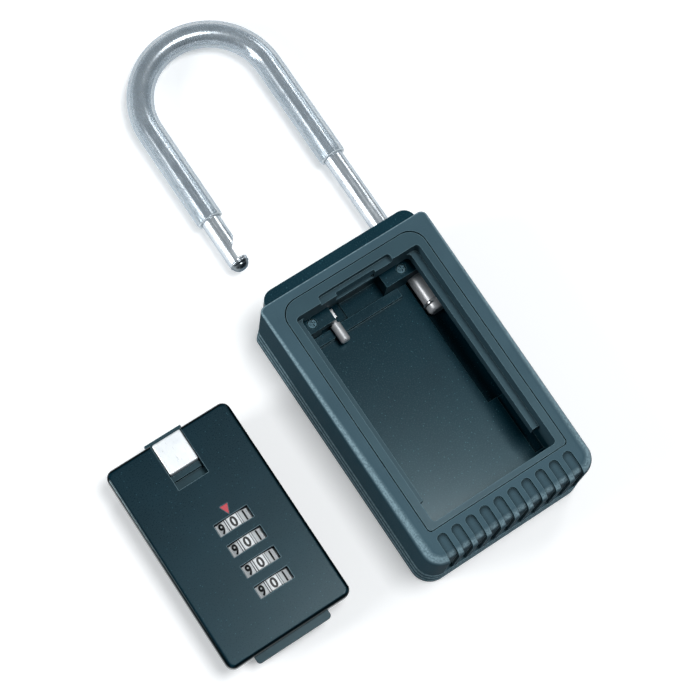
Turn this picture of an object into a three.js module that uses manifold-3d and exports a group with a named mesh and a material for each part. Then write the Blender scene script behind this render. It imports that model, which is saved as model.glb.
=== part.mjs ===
// Portable key safe: a shackled lock box with a removable four-wheel combination lid.
// Millimetres. X runs across the case, +Y points to the shackle, +Z out of the front face.
// The origin is the centre of the flat back. The box is open: the shackle is raised and the
// lid lies face up on the same surface, at the left of the case.
import * as THREE from 'three';
import { mergeVertices } from 'three/addons/utils/BufferGeometryUtils.js';
import Module from 'manifold-3d';

const wasm = await Module();
wasm.setup();

// ---- driving dimensions -------------------------------------------------------------------
const GAP = 0.2; // assembly clearance between neighbouring pieces

// case
const CASE_DEPTH = 38;
const BUMPER_HALF_W = 37.6;
const BUMPER_TOP = 56.2;
const BUMPER_BOTTOM = -61;
const BUMPER_TOP_ROUND = 3.9;
const BUMPER_LOW_ROUND = 8;
const BUMPER_ROLL = 3.6;
const LIP_BACK = 35.2; // underside of the bumper's front lip
const SLOTS = 10;
const SLOT_PITCH = 6.2;
const SLOT_HALF_W = 2.05;
const SLOT_DEPTH = 1;
const SLOT_TOP = -50;
const SLOT_BACK = 7;
const SHELL_HALF_W = 33.6;
const SHELL_TOP = 60.6;
const SHELL_BOTTOM = -57;
const SHELL_BACK = 2;
const FLOOR_Z = 8;
const CAVITY_HALF_W = 30.8;
const CAVITY_TOP = 48;
const CAVITY_BOTTOM = -47.5;
const BACK_PLATE_T = 1.7;

// front frame, which carries the lid opening
const FRAME_BACK = 26;
const FRAME_HALF_W = 30.6;
const FRAME_TOP = 51.8;
const FRAME_BOTTOM = -47.6;
const FLANGE_BOTTOM = -49.5;
const OPENING_HALF_W = 27.5;
const OPENING_HALF_L = 45.4;
const LEDGE_HALF_W = 24.6; // the seated lid rests on a ledge down each side
const LEDGE_Z = 31.2;
const LEDGE_END_Y = -36;
const TONGUE_SLOT_HALF_W = 8.6;
const HOOK_SLOT_HALF_W = 16.6;
const LID_TILT = 16; // degrees the lid leans while its hook goes in
const KEEPER_Z = [28.2, 31.9]; // height of the slots that hold the tongue and the hook
const NOTCH_HALF_W = 16;
const NOTCH_TOP = 48.2;
const NOTCH_BACK = 34.6;

// shackle
const ROD_R = 4;
const LEG_X = 27.5;
const LEG_Z = 8.5;
const BOW_Y = 146;
const LONG_END_Y = 25;
const SHORT_END_Y = 79.4;
const SLEEVE_R = 5.4;
const SLEEVE_LONG_Y = 99.5;
const SLEEVE_SHORT_Y = 102.8;
const RING_Y = 29;
const RING_R = 4.7;
const GROOVE_R = 3.3;
const NOTCH_LEG_Y0 = 83.6;
const NOTCH_LEG_Y1 = 88.2;
const NOTCH_SLOPE = 1.2;
const BORE_R = 4.3;

// shackle lock
const BLOCK_TOP = 20;
const BLOCK_Y0 = 41;
const BLOCK_SCREW_Y = 44.4;
const BLOCK_SCREW_X = { left: -19.5, right: 21.2 };
const SHELF_TOP = 10.3;
const BOLT_TIP_X = -23.1;
const BOLT_Y0 = 46.6;
const BOLT_Y1 = 49.8;
const PIN_X = -10.8;
const PIN_Z = 12.6;

// lid, in its own axes: origin at the middle of its underside
const LID_X = -89.6;
const LID_Y = -5.62;
const LID_HALF_W = 26.6;
const LID_HALF_L = 43.2;
const LID_T = 19.5;
const PLATE_BACK = 16.5;
const SKIRT_BACK = 14;
const HOUSING_HALF_W = 21.8;
const HOUSING_TOP = 38;
const HOUSING_BOTTOM = -41;
const WALL = 1.5;
const COVER_T = 1.1;

// combination wheels
const DIAL_X = 4.3;
const DIAL_Z = 10.45;
const DIAL_PITCH = 9;
const DIAL_TOP_Y = 2.6;
const DIALS = 4;
const DIGITS = 10;
const WHEEL_R = 9.1;
const WHEEL_W = 4.8;
const WHEEL_BORE = 5.3;
const HUB_R = 5;
const HUB_IN_R = 3.5;
const HUB_LEN = 8.4;
const SPINDLE_R = 1.6;
const WINDOW_W = 14.6;
const WINDOW_H = 5.2;
const INDEX_HALF_W = 1.6;
const INDEX_TIP_Y = 5.9;
const INDEX_BASE_Y = 9.6;

// latch and release button
const LATCH_HALF_W = 7.9;
const LATCH_Z0 = 11.2;
const LATCH_Z1 = 13.8;
const LATCH_END_Y = 15.5;
const TONGUE_Y = 45.2;
const TRACK_HALF_W = 6.5;
const TRACK_END_Y = 23.1;
const BUTTON_HALF_W = 6.1;
const BUTTON_Y0 = 29.5;
const BUTTON_Y1 = 42.6;
const BUTTON_SCREW_Y = 36;
const CLIP_Y = [14.95, 18.05]; // either side of the latch's upright
const HOOK_HALF_W = 16;
const HOOK_END_Y = -46;
const BALL = { x: 1.5, y: 25.5, z: 8.9, r: 1.8 };

// ---- materials ----------------------------------------------------------------------------
const finish = (color, roughness, metalness) =>
  new THREE.MeshStandardMaterial({ color, roughness, metalness });
const paint = {
  bumper: finish('#566a74', 0.62, 0),
  shell: finish('#14303a', 0.35, 0.2),
  chrome: finish('#c9ced2', 0.14, 1),
  steel: finish('#9aa0a4', 0.32, 1),
  sleeve: finish('#b9c6cf', 0.12, 0),
  lid: finish('#1d343e', 0.38, 0.1),
  button: finish('#e6e9ea', 0.25, 0.9),
  wheel: finish('#d7dadb', 0.4, 0.5),
  brass: finish('#b08a45', 0.35, 1),
  red: finish('#c23a48', 0.5, 0),
};

// ---- solids -------------------------------------------------------------------------------
function solid(geometry) {
  const bare = geometry.index ? geometry.toNonIndexed() : geometry.clone();
  bare.deleteAttribute('normal');
  bare.deleteAttribute('uv');
  const merged = mergeVertices(bare, 1e-4);
  return new wasm.Manifold(new wasm.Mesh({
    numProp: 3,
    vertProperties: new Float32Array(merged.attributes.position.array),
    triVerts: new Uint32Array(merged.index.array),
  }));
}

function geometryOf(manifold) {
  const mesh = manifold.getMesh();
  const geometry = new THREE.BufferGeometry();
  geometry.setAttribute('position', new THREE.BufferAttribute(mesh.vertProperties, 3));
  geometry.setIndex(new THREE.BufferAttribute(mesh.triVerts, 1));
  geometry.computeVertexNormals();
  return geometry;
}

const join = (...pieces) => pieces.reduce((whole, piece) => whole.add(piece));
const cut = (body, ...tools) => tools.reduce((rest, tool) => rest.subtract(tool), body);

function box([x0, x1], [y0, y1], [z0, z1]) {
  const geometry = new THREE.BoxGeometry(x1 - x0, y1 - y0, z1 - z0);
  return solid(geometry.translate((x0 + x1) / 2, (y0 + y1) / 2, (z0 + z1) / 2));
}

function roundedRect([x0, x1], [y0, y1], rTop, rBottom = rTop) {
  const shape = new THREE.Shape();
  shape.moveTo(x0 + rBottom, y0);
  shape.lineTo(x1 - rBottom, y0);
  shape.absarc(x1 - rBottom, y0 + rBottom, rBottom, -Math.PI / 2, 0);
  shape.lineTo(x1, y1 - rTop);
  shape.absarc(x1 - rTop, y1 - rTop, rTop, 0, Math.PI / 2);
  shape.lineTo(x0 + rTop, y1);
  shape.absarc(x0 + rTop, y1 - rTop, rTop, Math.PI / 2, Math.PI);
  shape.lineTo(x0, y0 + rBottom);
  shape.absarc(x0 + rBottom, y0 + rBottom, rBottom, Math.PI, Math.PI * 1.5);
  return shape;
}

function slab(shape, [z0, z1], curveSegments = 5) {
  const options = { depth: z1 - z0, bevelEnabled: false, curveSegments };
  return solid(new THREE.ExtrudeGeometry(shape, options).translate(0, 0, z0));
}

// A slab whose front edge is rolled over by the given round. Its back end is cut square.
function rolledSlab(shape, [z0, z1], round, bevelSegments = 3) {
  const geometry = new THREE.ExtrudeGeometry(shape, {
    depth: z1 - z0, bevelEnabled: true, bevelThickness: round, bevelSize: round,
    bevelOffset: -round, bevelSegments, curveSegments: 5,
  });
  geometry.translate(0, 0, z0 - round);
  const behind = box([-200, 200], [-200, 200], [z0 - 50, z0]);
  return cut(solid(geometry), behind);
}

function cylinderY(r, [y0, y1], x = 0, z = 0, sides = 24, rTop = r) {
  const geometry = new THREE.CylinderGeometry(rTop, r, y1 - y0, sides);
  return solid(geometry.translate(x, (y0 + y1) / 2, z));
}

function cylinderZ(r, [z0, z1], x = 0, y = 0, sides = 20, rTop = r) {
  const geometry = new THREE.CylinderGeometry(rTop, r, z1 - z0, sides);
  return solid(geometry.rotateX(Math.PI / 2).translate(x, y, (z0 + z1) / 2));
}

// An outline in the YZ plane, run along X between two stations.
function prismX(points, [x0, x1]) {
  const shape = new THREE.Shape(points.map(([y, z]) => new THREE.Vector2(y, z)));
  const geometry = new THREE.ExtrudeGeometry(shape, { depth: x1 - x0, bevelEnabled: false });
  const turn = new THREE.Matrix4().makeBasis(
    new THREE.Vector3(0, 1, 0), new THREE.Vector3(0, 0, 1), new THREE.Vector3(1, 0, 0),
  );
  return solid(geometry.applyMatrix4(turn).translate(x0, 0, 0));
}

function part(name, body, material) {
  const geometry = body instanceof THREE.BufferGeometry ? body : geometryOf(body);
  const mesh = new THREE.Mesh(geometry, material);
  mesh.name = name;
  return mesh;
}

function group(x, y, z, ...children) {
  const holder = new THREE.Group();
  holder.position.set(x, y, z);
  holder.add(...children);
  return holder;
}

// A countersunk or pan screw on +Z, its head at the bottom when it is driven from the back.
function screw(name, x, y, { headR, head: [h0, h1], shankR, tip }) {
  const forward = tip > h1;
  const shank = forward ? [h1 - 0.1, tip] : [tip, h0 + 0.1];
  const recess = forward ? [h0 - 1, h0 + 0.5] : [h1 - 0.5, h1 + 1];
  const body = cut(
    join(cylinderZ(headR, [h0, h1], 0, 0, 12), cylinderZ(shankR, shank, 0, 0, 8)),
    box([-0.3, 0.3], [-headR * 0.7, headR * 0.7], recess),
    box([-headR * 0.7, headR * 0.7], [-0.3, 0.3], recess),
  );
  return group(x, y, 0, part(name, body, paint.steel));
}

// ---- case ---------------------------------------------------------------------------------
const backScrews = [[-18, -38], [18, -38], [-12, 54.5], [12, 54.5]];

function caseShell() {
  const outline = roundedRect([-SHELL_HALF_W, SHELL_HALF_W], [SHELL_BOTTOM, SHELL_TOP], 5);
  const legs = [-LEG_X, LEG_X].map((x) => cylinderY(BORE_R, [40, SHELL_TOP + 1], x, LEG_Z));
  const tray = cut(
    slab(outline, [SHELL_BACK, 35]),
    box([-CAVITY_HALF_W, CAVITY_HALF_W], [CAVITY_BOTTOM, CAVITY_TOP], [FLOOR_Z, 36]),
    box([-CAVITY_HALF_W, CAVITY_HALF_W], [FLANGE_BOTTOM - GAP, FRAME_TOP + GAP],
      [FRAME_BACK - GAP, 36]),
    box([LEG_X - 5, LEG_X + 5], [-15.5, CAVITY_TOP], [LEG_Z - 5, 13.6]),
    box([LEG_X - 0.9, CAVITY_HALF_W], [-41.5, -15], [FLOOR_Z - 1, FLOOR_Z + 1]),
    box([-LEG_X - 4.4, -LEG_X + 4.4], [40.2, CAVITY_TOP], [LEG_Z - 4.4, 13]),
    box([BOLT_TIP_X - 1, -4], [46.2, BOLT_Y1 + GAP], [6.9, 11]),
    box([-17, -4], [41.4, 46.4], [6.9, 11]),
    ...legs,
    ...backScrews.map(([x, y]) => cylinderZ(1.3, [0, 6.9], x, y, 12)),
    ...Object.values(BLOCK_SCREW_X).map((x) =>
      cylinderZ(1.2, [4, FLOOR_Z + 1], x, BLOCK_SCREW_Y, 12)),
  );
  const shelf = box([-CAVITY_HALF_W - 0.2, 18], [37, 40.8], [FLOOR_Z - 0.5, SHELF_TOP]);
  return join(tray, shelf);
}

function frontFrame() {
  const collar = roundedRect([-FRAME_HALF_W, FRAME_HALF_W], [FRAME_BOTTOM, FRAME_TOP], 7, 1.5);
  const slope = Math.tan(THREE.MathUtils.degToRad(LID_TILT));
  const relief = 44.9 - slope * 28.7; // path of the latch tongue's lower corner, with play
  const hookPath = -46.8 - slope * 31.3; // path of the hook plate's upper corner, with play
  const notch = roundedRect([-NOTCH_HALF_W, NOTCH_HALF_W], [OPENING_HALF_L - 6, NOTCH_TOP], 1.4);
  const opening = (halfW, z0) => slab(
    roundedRect([-halfW, halfW], [-OPENING_HALF_L, OPENING_HALF_L], 1.6), [z0, CASE_DEPTH + 1]);
  return cut(
    join(
      box([-FRAME_HALF_W, FRAME_HALF_W], [FLANGE_BOTTOM, FRAME_TOP], [FRAME_BACK, 35]),
      slab(collar, [34.5, CASE_DEPTH]),
    ),
    opening(LEDGE_HALF_W, FRAME_BACK - 1),
    opening(OPENING_HALF_W, LEDGE_Z),
    opening(OPENING_HALF_W, FRAME_BACK - 1).intersect(
      box([-OPENING_HALF_W, OPENING_HALF_W], [-OPENING_HALF_L, LEDGE_END_Y], [0, CASE_DEPTH])),
    slab(notch, [NOTCH_BACK, CASE_DEPTH + 1]),
    box([-TONGUE_SLOT_HALF_W, TONGUE_SLOT_HALF_W], [OPENING_HALF_L - 1, 47.6], KEEPER_Z),
    prismX([[OPENING_HALF_L - 1, 31], [relief + slope * 31, 31], [relief + slope * 36, 36],
      [OPENING_HALF_L - 1, 36]], [-TONGUE_SLOT_HALF_W, TONGUE_SLOT_HALF_W]),
    box([-HOOK_SLOT_HALF_W, HOOK_SLOT_HALF_W], [-47, -OPENING_HALF_L + 1], KEEPER_Z),
    prismX([[-OPENING_HALF_L + 1, 31], [hookPath + slope * 31, 31],
      [hookPath + slope * 37, 37], [-OPENING_HALF_L + 1, 37]],
    [-HOOK_SLOT_HALF_W, HOOK_SLOT_HALF_W]),
  );
}

function gripSlot(index) {
  const x = (index - (SLOTS - 1) / 2) * SLOT_PITCH;
  const sides = [x - SLOT_HALF_W, x + SLOT_HALF_W];
  return join(
    slab(roundedRect(sides, [BUMPER_BOTTOM - 6, SLOT_TOP], 2, 0.5),
      [CASE_DEPTH - SLOT_DEPTH, CASE_DEPTH + 1], 3),
    box(sides, [BUMPER_BOTTOM - 2, BUMPER_BOTTOM + SLOT_DEPTH], [SLOT_BACK, CASE_DEPTH]),
  );
}

function bumper() {
  const outline = roundedRect(
    [-BUMPER_HALF_W, BUMPER_HALF_W], [BUMPER_BOTTOM, BUMPER_TOP],
    BUMPER_TOP_ROUND, BUMPER_LOW_ROUND);
  const pocket = roundedRect([-SHELL_HALF_W - GAP, SHELL_HALF_W + GAP],
    [SHELL_BOTTOM - GAP, SHELL_TOP + 5], 5);
  const mouth = roundedRect([-FRAME_HALF_W - 0.3, FRAME_HALF_W + 0.3],
    [FRAME_BOTTOM - 0.3, FRAME_TOP + 0.3], 7, 1.8);
  return cut(
    rolledSlab(outline, [0, CASE_DEPTH], BUMPER_ROLL),
    slab(pocket, [-1, LIP_BACK]),
    slab(mouth, [LIP_BACK - 1, CASE_DEPTH + 1]),
    ...Array.from({ length: SLOTS }, (_, index) => gripSlot(index)),
  );
}

function backPlate() {
  const outline = roundedRect([-SHELL_HALF_W, SHELL_HALF_W],
    [SHELL_BOTTOM, SHELL_TOP - 0.3], 5);
  return cut(
    slab(outline, [0, BACK_PLATE_T]),
    ...backScrews.map(([x, y]) => cylinderZ(2.5, [-1, 1.1], x, y, 16)),
    ...backScrews.map(([x, y]) => cylinderZ(1.3, [0, 3], x, y, 12)),
  );
}

// The left block covers the short leg's bore and the bolt; the right one guides the long leg.
function lockBlock(side) {
  const [x0, x1] = side < 0 ? [-30.6, -11] : [12.5, 30.6];
  const screwX = side < 0 ? BLOCK_SCREW_X.left : BLOCK_SCREW_X.right;
  const block = cut(
    box([x0, x1], [BLOCK_Y0, CAVITY_TOP - GAP], [FLOOR_Z + GAP, BLOCK_TOP]),
    cylinderY(BORE_R, [BLOCK_Y0 - 1, CAVITY_TOP + 1], side * LEG_X, LEG_Z),
    cylinderZ(2, [BLOCK_TOP - 1.4, BLOCK_TOP + 1], screwX, BLOCK_SCREW_Y, 16),
    cylinderZ(1.2, [0, BLOCK_TOP], screwX, BLOCK_SCREW_Y, 12),
  );
  if (side > 0) return block;
  return cut(
    block,
    box([BOLT_TIP_X - 1.2, -4], [46.2, CAVITY_TOP], [0, 10.4]),
    box([-17, -4], [BLOCK_Y0 - 1, CAVITY_TOP], [0, 15.4]),
  );
}

const blockScrew = { headR: 1.8, head: [BLOCK_TOP - 1.2, BLOCK_TOP - 0.1], shankR: 1, tip: 4.4 };
const backScrew = { headR: 2.2, head: [0.1, 0.9], shankR: 1.1, tip: 6.6 };

const caseGroup = group(0, 0, 0,
  part('case_shell', caseShell(), paint.shell),
  part('front_frame', frontFrame(), paint.bumper),
  part('bumper', bumper(), paint.bumper),
  part('back_plate', backPlate(), paint.shell),
  part('shackle_block_left', lockBlock(-1), paint.shell),
  part('shackle_block_right', lockBlock(1), paint.shell),
  screw('block_screw_left', BLOCK_SCREW_X.left, BLOCK_SCREW_Y, blockScrew),
  screw('block_screw_right', BLOCK_SCREW_X.right, BLOCK_SCREW_Y, blockScrew),
  ...backScrews.map(([x, y], i) => screw(`back_screw_${i + 1}`, x, y, backScrew)));

// ---- shackle ------------------------------------------------------------------------------
function bentRod(radius, longEnd, shortEnd, sides) {
  const ring = new THREE.TorusGeometry(LEG_X, radius, sides, 36);
  const upper = box([-80, 80], [0, 80], [-20, 20]);
  const bow = solid(ring).intersect(upper).translate([0, BOW_Y, 0]);
  return join(
    bow,
    cylinderY(radius, [longEnd, BOW_Y], LEG_X, 0, sides),
    cylinderY(radius, [shortEnd, BOW_Y], -LEG_X, 0, sides),
  );
}

function shackle() {
  const tip = SHORT_END_Y;
  const notch = [[-LEG_X + 0.2, NOTCH_LEG_Y0], [-LEG_X + 0.2, NOTCH_LEG_Y1],
    [-LEG_X + 6.2, NOTCH_LEG_Y1 + 6 * NOTCH_SLOPE], [-LEG_X + 6.2, NOTCH_LEG_Y0]];
  const notchShape = new THREE.Shape(notch.map(([x, y]) => new THREE.Vector2(x, y)));
  const groove = cut(
    cylinderY(ROD_R + 1, [RING_Y - 0.6, RING_Y + 0.6], LEG_X),
    cylinderY(GROOVE_R, [RING_Y - 1, RING_Y + 1], LEG_X),
  );
  return cut(
    join(
      bentRod(ROD_R, LONG_END_Y + 1, tip + 2.4, 16),
      cylinderY(ROD_R - 1, [LONG_END_Y, LONG_END_Y + 1], LEG_X, 0, 16, ROD_R),
      cylinderY(ROD_R - 1.5, [tip, tip + 2.4], -LEG_X, 0, 16, ROD_R),
    ),
    slab(notchShape, [-5, 5]),
    groove,
  );
}

function sleeve() {
  return cut(
    bentRod(SLEEVE_R, SLEEVE_LONG_Y, SLEEVE_SHORT_Y, 16),
    bentRod(ROD_R + GAP, SLEEVE_LONG_Y - 2, SLEEVE_SHORT_Y - 2, 16),
  );
}

function retainingRing() {
  return cut(
    cylinderY(RING_R, [-0.4, 0.4], 0, 0, 20),
    cylinderY(GROOVE_R + GAP, [-1, 1], 0, 0, 20),
    box([-1.9, 1.9], [-1, 1], [0, 6]),
  );
}

// The bolt is a bar that slides in the case's top wall, with an upright that carries the pin.
function lockBolt() {
  return cut(
    join(
      box([BOLT_TIP_X, -8.8], [BOLT_Y0, BOLT_Y1], [7.2, 9.9]),
      box([-12.8, -8.8], [42.6, BOLT_Y0 + 1], [7.2, 15]),
    ),
    box([-13, -8], [BOLT_Y0, 51], [9.9, 16]),
    cylinderY(1.5, [41, 45], PIN_X, PIN_Z, 16),
  );
}

function releasePin() {
  return join(
    cylinderY(1.35, [-2.2, 2.2], 0, 0, 16),
    cylinderY(2.05, [-9, -1.8], 0, 0, 20),
    cylinderY(1.6, [-9.5, -8.95], 0, 0, 20, 2.05),
  );
}

const shackleGroup = group(0, 0, LEG_Z,
  part('shackle', shackle(), paint.chrome),
  part('shackle_sleeve', sleeve(), paint.sleeve),
  group(LEG_X, RING_Y, 0, part('shackle_retaining_ring', retainingRing(), paint.steel)));
const lockGroup = group(0, 0, 0,
  part('lock_bolt', lockBolt(), paint.steel),
  group(PIN_X, 42.6, PIN_Z, part('release_pin', releasePin(), paint.chrome)));

// ---- lid ----------------------------------------------------------------------------------
const dialY = (index) => DIAL_TOP_Y - index * DIAL_PITCH;
const coverScrews = [[-17, -36], [17, -36], [-17, 33], [17, 33]];
const hookScrews = [[-8, -37.6], [8, -37.6]];

function windowCut(index) {
  const y = dialY(index);
  return box([DIAL_X - WINDOW_W / 2, DIAL_X + WINDOW_W / 2],
    [y - WINDOW_H / 2, y + WINDOW_H / 2], [PLATE_BACK - 1, LID_T + 1]);
}

function indexTriangle(grow) {
  const shape = new THREE.Shape();
  shape.moveTo(DIAL_X - INDEX_HALF_W - grow, INDEX_BASE_Y + grow);
  shape.lineTo(DIAL_X, INDEX_TIP_Y - 1.6 * grow);
  shape.lineTo(DIAL_X + INDEX_HALF_W + grow, INDEX_BASE_Y + grow);
  shape.closePath();
  return shape;
}

function latchGuide(side) {
  return join(
    box([side * 9.3 - 0.8, side * 9.3 + 0.8], [21, HOUSING_TOP - 0.5], [9.4, PLATE_BACK + 0.5]),
    box([side * 8 - 1.2, side * 8 + 1.2], [21, HOUSING_TOP - 0.5], [9.4, LATCH_Z0 - GAP]),
  );
}

function spindleWeb(y) {
  return cut(
    box([DIAL_X - 11, DIAL_X + 11], [y - 0.7, y + 0.7], [3, PLATE_BACK + 0.5]),
    cylinderY(SPINDLE_R + GAP, [y - 2, y + 2], DIAL_X, DIAL_Z, 20),
  );
}

function lidShell() {
  const face = roundedRect([-LID_HALF_W, LID_HALF_W], [-LID_HALF_L, LID_HALF_L], 3.4);
  const inner = roundedRect([-LID_HALF_W + WALL, LID_HALF_W - WALL],
    [-LID_HALF_L + WALL, LID_HALF_L - WALL], 2);
  const cap = cut(
    rolledSlab(face, [SKIRT_BACK, LID_T], 1.5, 4),
    slab(inner, [SKIRT_BACK - 1, PLATE_BACK]),
  );
  const housing = cut(
    box([-HOUSING_HALF_W, HOUSING_HALF_W], [HOUSING_BOTTOM, HOUSING_TOP], [0, PLATE_BACK + 0.5]),
    box([-HOUSING_HALF_W + WALL, HOUSING_HALF_W - WALL],
      [HOUSING_BOTTOM + WALL, HOUSING_TOP - WALL], [-1, PLATE_BACK]),
  );
  const body = join(
    cap,
    housing,
    latchGuide(-1),
    latchGuide(1),
    spindleWeb(7.9),
    spindleWeb(-29.7),
    box([-9, -7.2], [-27, 6], [3, PLATE_BACK + 0.5]),
    ...coverScrews.map(([x, y]) => cylinderZ(3.1, [COVER_T + GAP, PLATE_BACK + 0.5], x, y, 16)),
    ...hookScrews.map(([x, y]) => cylinderZ(2.4, [LATCH_Z1 + GAP, PLATE_BACK + 0.5], x, y, 16)),
  );
  return cut(
    body,
    ...Array.from({ length: DIALS }, (_, index) => windowCut(index)),
    box([-TRACK_HALF_W, TRACK_HALF_W], [TRACK_END_Y, LID_HALF_L + 1], [SKIRT_BACK - 1, 25]),
    box([-8.2, 8.2], [HOUSING_TOP - 3, HOUSING_TOP + 1], [LATCH_Z0 - GAP, SKIRT_BACK]),
    box([-13.4, 13.4], [HOUSING_BOTTOM - 1, HOUSING_BOTTOM + 3], [LATCH_Z0 - GAP, SKIRT_BACK]),
    slab(indexTriangle(0.12), [LID_T - 0.7, LID_T + 1]),
    ...coverScrews.map(([x, y]) => cylinderZ(1.3, [0, 9.4], x, y, 12)),
    ...hookScrews.map(([x, y]) => cylinderZ(1.1, [12, 16], x, y, 12)),
  );
}

function lidCover() {
  const plate = box([-HOUSING_HALF_W + WALL + GAP, HOUSING_HALF_W - WALL - GAP],
    [HOUSING_BOTTOM + WALL + GAP, HOUSING_TOP - WALL - GAP], [0.1, COVER_T]);
  const ballBoss = cylinderZ(2.9, [0.5, BALL.z + 1.9], BALL.x, BALL.y, 20);
  const springPost = box([-6, -3], [13.4, 15], [0.5, 10.7]);
  return cut(
    join(plate, ballBoss, springPost),
    cylinderZ(BALL.r + 0.3, [BALL.z - BALL.r - 0.3, 20], BALL.x, BALL.y, 20),
    ...coverScrews.map(([x, y]) => cylinderZ(2.2, [-1, 0.65], x, y, 16)),
    ...coverScrews.map(([x, y]) => cylinderZ(1.3, [0, 3], x, y, 12)),
  );
}

function hookPlate() {
  return cut(
    join(
      slab(roundedRect([-HOOK_HALF_W, HOOK_HALF_W], [HOOK_END_Y, HOUSING_BOTTOM - 0.5], 0.3, 1.4),
        [LATCH_Z0, LATCH_Z1]),
      box([-13, 13], [HOUSING_BOTTOM - 1, -35.4], [LATCH_Z0, LATCH_Z1]),
    ),
    box([DIAL_X - 1.9, DIAL_X + 1.9], [-39, -35], [LATCH_Z0 - 1, LATCH_Z1 + 1]),
    ...hookScrews.map(([x, y]) => cylinderZ(1.1, [10, 15], x, y, 12)),
  );
}

// A flat comb with one finger to press into the notches of each wheel.
function detentSpring() {
  const fingers = Array.from({ length: DIALS }, (_, index) => {
    const y = dialY(index);
    return box([-6.5, -5.2], [y - 1.4, y + 1.4], [9.9, 11]);
  });
  return join(box([-7, -6.4], [-27, 6], [4, 14]), ...fingers);
}

const coverScrew = { headR: 2, head: [0.15, 0.55], shankR: 1.1, tip: 9 };
const hookScrew = { headR: 1.9, head: [10, LATCH_Z0 - 0.1], shankR: 0.9, tip: 15.7 };

// ---- latch --------------------------------------------------------------------------------
function latchPlate() {
  return cut(
    join(
      box([-LATCH_HALF_W, LATCH_HALF_W], [LATCH_END_Y, TONGUE_Y], [LATCH_Z0, LATCH_Z1]),
      box([-BUTTON_HALF_W, BUTTON_HALF_W], [27.2, BUTTON_Y1], [LATCH_Z1 - 0.5, 16.2]),
      box([0.8, 7.8], [LATCH_END_Y, LATCH_END_Y + 2], [7, LATCH_Z0 + 0.5]),
      box([-6, -3], [32, 33.6], [8, LATCH_Z0 + 0.5]),
    ),
    cylinderY(SPINDLE_R + 0.15, [10, 20.5], DIAL_X, DIAL_Z, 20),
    box([DIAL_X - 3.3, DIAL_X + 3.3], [17.5, 20.5], [9, 14]),
    cylinderZ(1.25, [5, 20], 0, BUTTON_SCREW_Y, 12),
    cylinderZ(2.1, [5, LATCH_Z0 + 1.3], 0, BUTTON_SCREW_Y, 16),
  );
}

function releaseButton() {
  const face = roundedRect([-BUTTON_HALF_W, BUTTON_HALF_W], [BUTTON_Y0, BUTTON_Y1], 0.7);
  return cut(
    rolledSlab(face, [16.5, 20.1], 0.5, 2),
    cylinderZ(1.25, [10, 18.6], 0, BUTTON_SCREW_Y, 12),
  );
}

class Coil extends THREE.Curve {
  constructor(radius, length, turns) {
    super();
    Object.assign(this, { radius, length, turns });
  }

  getPoint(t, target = new THREE.Vector3()) {
    const angle = t * this.turns * Math.PI * 2;
    return target.set(
      this.radius * Math.cos(angle), t * this.length, this.radius * Math.sin(angle));
  }
}

function latchSpring() {
  const wire = new THREE.Shape().absarc(0, 0, 0.25, 0, Math.PI * 2);
  return new THREE.ExtrudeGeometry(wire, {
    steps: 48, curveSegments: 3, extrudePath: new Coil(1, 15.6, 6),
  });
}

// The spindle's fins have to line up with the slot in every hub before the latch can slide.
function dialSpindle() {
  const fins = Array.from({ length: DIALS }, (_, index) => {
    const y = dialY(index);
    return box([-0.8, 0.8], [y + 0.75, y + 1.95], [-3.2, -1]);
  });
  const grooves = CLIP_Y.map((y) => cut(
    cylinderY(SPINDLE_R + 1, [y - 0.45, y + 0.45], 0, 0, 16),
    cylinderY(1.1, [y - 1, y + 1], 0, 0, 16),
  ));
  return cut(join(cylinderY(SPINDLE_R, [-33.4, 20], 0, 0, 20), ...fins), ...grooves);
}

function spindleClip() {
  return cut(
    cylinderY(3, [-0.3, 0.3], 0, 0, 16),
    cylinderY(1.25, [-1, 1], 0, 0, 16),
    box([-0.9, 0.9], [-1, 1], [0, 4]),
  );
}

// ---- combination wheels -------------------------------------------------------------------
function wheelOutline() {
  const shape = new THREE.Shape();
  const step = (Math.PI * 2) / DIGITS;
  for (let digit = 0; digit < DIGITS; digit += 1) {
    const middle = Math.PI / 2 + digit * step;
    for (const [turn, r] of [[-0.36, WHEEL_R], [0.36, WHEEL_R], [0.5, WHEEL_R - 0.55]]) {
      const angle = middle + turn * step;
      const point = [r * Math.cos(angle), r * Math.sin(angle)];
      if (digit === 0 && turn < 0) shape.moveTo(...point);
      else shape.lineTo(...point);
    }
  }
  shape.closePath();
  shape.holes.push(new THREE.Path().absarc(0, 0, WHEEL_BORE, 0, Math.PI * 2, true));
  return shape;
}

function dialWheel() {
  const geometry = new THREE.ExtrudeGeometry(wheelOutline(), {
    depth: WHEEL_W, bevelEnabled: false, curveSegments: 12,
  });
  return geometry.translate(0, 0, -WHEEL_W / 2).rotateX(-Math.PI / 2).rotateY(Math.PI);
}

function codeHub() {
  const half = HUB_LEN / 2;
  const profile = [[HUB_IN_R, -half], [HUB_R, -half], [HUB_R, half], [HUB_IN_R, half],
    [HUB_IN_R, 0.5], [SPINDLE_R + GAP, 0.5], [SPINDLE_R + GAP, -0.9], [HUB_IN_R, -0.9],
    [HUB_IN_R, -half]];
  const turned = new THREE.LatheGeometry(profile.map(([r, y]) => new THREE.Vector2(r, y)), 18);
  return cut(solid(turned), box([-1.1, 1.1], [-2, 2], [-3.6, 0]));
}

function dial(index) {
  const number = index + 1;
  return group(DIAL_X, dialY(index), DIAL_Z,
    part(`dial_wheel_${number}`, dialWheel(), paint.wheel),
    part(`code_hub_${number}`, codeHub(), paint.brass));
}

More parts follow.
